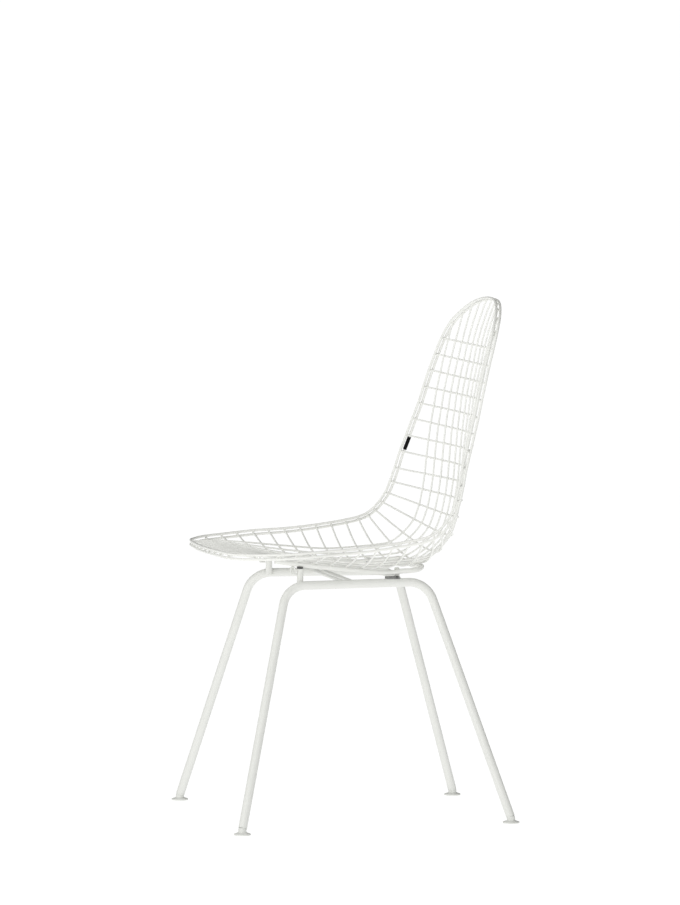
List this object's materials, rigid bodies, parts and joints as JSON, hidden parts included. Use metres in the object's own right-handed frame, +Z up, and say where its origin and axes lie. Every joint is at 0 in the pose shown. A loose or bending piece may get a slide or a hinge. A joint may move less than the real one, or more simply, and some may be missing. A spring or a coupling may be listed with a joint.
{
  "type": "wire mesh side chair",
  "caption": "Side chair with a one-piece wire mesh bucket shell in a double wire rim, on a bent tube base with splayed legs and swivel glides.",
  "frame": {"origin": "middle of the overall width and depth, on the floor", "axes": "+Z up, the sitter faces -Y, +X is the sitter's left"},
  "size_m": [0.4838, 0.4908, 0.8329],
  "materials": {
    "coated_wire": "satin",
    "coated_frame": "satin",
    "rubber": "matte",
    "plated_steel": "satin",
    "glide_nylon": "satin",
    "tag_plastic": "satin"
  },
  "bodies": {
    "chair": {"blank_tag": "tag_plastic", "cross_rods": "coated_frame", "cross_wire_01": "coated_wire", "cross_wire_02": "coated_wire", "cross_wire_03": "coated_wire", "cross_wire_04": "coated_wire", "cross_wire_05": "coated_wire", "cross_wire_06": "coated_wire", "cross_wire_07": "coated_wire", "cross_wire_08": "coated_wire", "cross_wire_09": "coated_wire", "cross_wire_10": "coated_wire", "cross_wire_11": "coated_wire", "cross_wire_12": "coated_wire", "cross_wire_13": "coated_wire", "cross_wire_14": "coated_wire", "cross_wire_15": "coated_wire", "cross_wire_16": "coated_wire", "cross_wire_17": "coated_wire", "cross_wire_18": "coated_wire", "cross_wire_19": "coated_wire", "cross_wire_20": "coated_wire", "cross_wire_21": "coated_wire", "cross_wire_22": "coated_wire", "cross_wire_23": "coated_wire", "cross_wire_24": "coated_wire", "cross_wire_25": "coated_wire", "front_posts": "coated_frame", "front_rubbers": "rubber", "leg_plugs": "glide_nylon", "long_wire_01": "coated_wire", "long_wire_02": "coated_wire", "long_wire_03": "coated_wire", "long_wire_04": "coated_wire", "long_wire_05": "coated_wire", "long_wire_06": "coated_wire", "long_wire_07": "coated_wire", "long_wire_08": "coated_wire", "long_wire_09": "coated_wire", "long_wire_10": "coated_wire", "long_wire_11": "coated_wire", "mounting_loop": "coated_wire", "rear_saddles": "rubber", "rear_tabs": "coated_frame", "retaining_hooks": "coated_frame", "rim_wire_lower": "coated_wire", "rim_wire_upper": "coated_wire", "side_frame_left": "coated_frame", "side_frame_right": "coated_frame", "tab_screws": "plated_steel"},
    "stud_front_left": {"glide_stud_front_left": "plated_steel"},
    "pad_front_left": {"glide_pad_front_left": "glide_nylon"},
    "stud_front_right": {"glide_stud_front_right": "plated_steel"},
    "pad_front_right": {"glide_pad_front_right": "glide_nylon"},
    "stud_back_left": {"glide_stud_back_left": "plated_steel"},
    "pad_back_left": {"glide_pad_back_left": "glide_nylon"},
    "stud_back_right": {"glide_stud_back_right": "plated_steel"},
    "pad_back_right": {"glide_pad_back_right": "glide_nylon"}
  },
  "joints": [
    {"name": "swivel_front_left", "type": "hinge", "parent": "chair", "child": "stud_front_left", "pos_m": [0.2284, -0.22784, 0.008], "axis": [-0.2696, 0.2434, 0.9317], "continuous": true},
    {"name": "tilt_front_left", "type": "hinge", "parent": "stud_front_left", "child": "pad_front_left", "pos_m": [0.2284, -0.22784, 0.008], "axis": [0.6702, 0.7422, 0], "range_deg": [-46.3, 3.7]},
    {"name": "swivel_front_right", "type": "hinge", "parent": "chair", "child": "stud_front_right", "pos_m": [-0.2284, -0.22784, 0.008], "axis": [0.2696, 0.2434, 0.9317], "continuous": true},
    {"name": "tilt_front_right", "type": "hinge", "parent": "stud_front_right", "child": "pad_front_right", "pos_m": [-0.2284, -0.22784, 0.008], "axis": [0.6702, -0.7422, 0], "range_deg": [-46.3, 3.7]},
    {"name": "swivel_back_left", "type": "hinge", "parent": "chair", "child": "stud_back_left", "pos_m": [0.1844, 0.22316, 0.008], "axis": [-0.2155, -0.2929, 0.9315], "continuous": true},
    {"name": "tilt_back_left", "type": "hinge", "parent": "stud_back_left", "child": "pad_back_left", "pos_m": [0.1844, 0.22316, 0.008], "axis": [-0.8055, 0.5926, 0], "range_deg": [-46.3, 3.7]},
    {"name": "swivel_back_right", "type": "hinge", "parent": "chair", "child": "stud_back_right", "pos_m": [-0.1844, 0.22316, 0.008], "axis": [0.2155, -0.2929, 0.9315], "continuous": true},
    {"name": "tilt_back_right", "type": "hinge", "parent": "stud_back_right", "child": "pad_back_right", "pos_m": [-0.1844, 0.22316, 0.008], "axis": [-0.8055, -0.5926, 0], "range_deg": [-46.3, 3.7]}
  ]
}
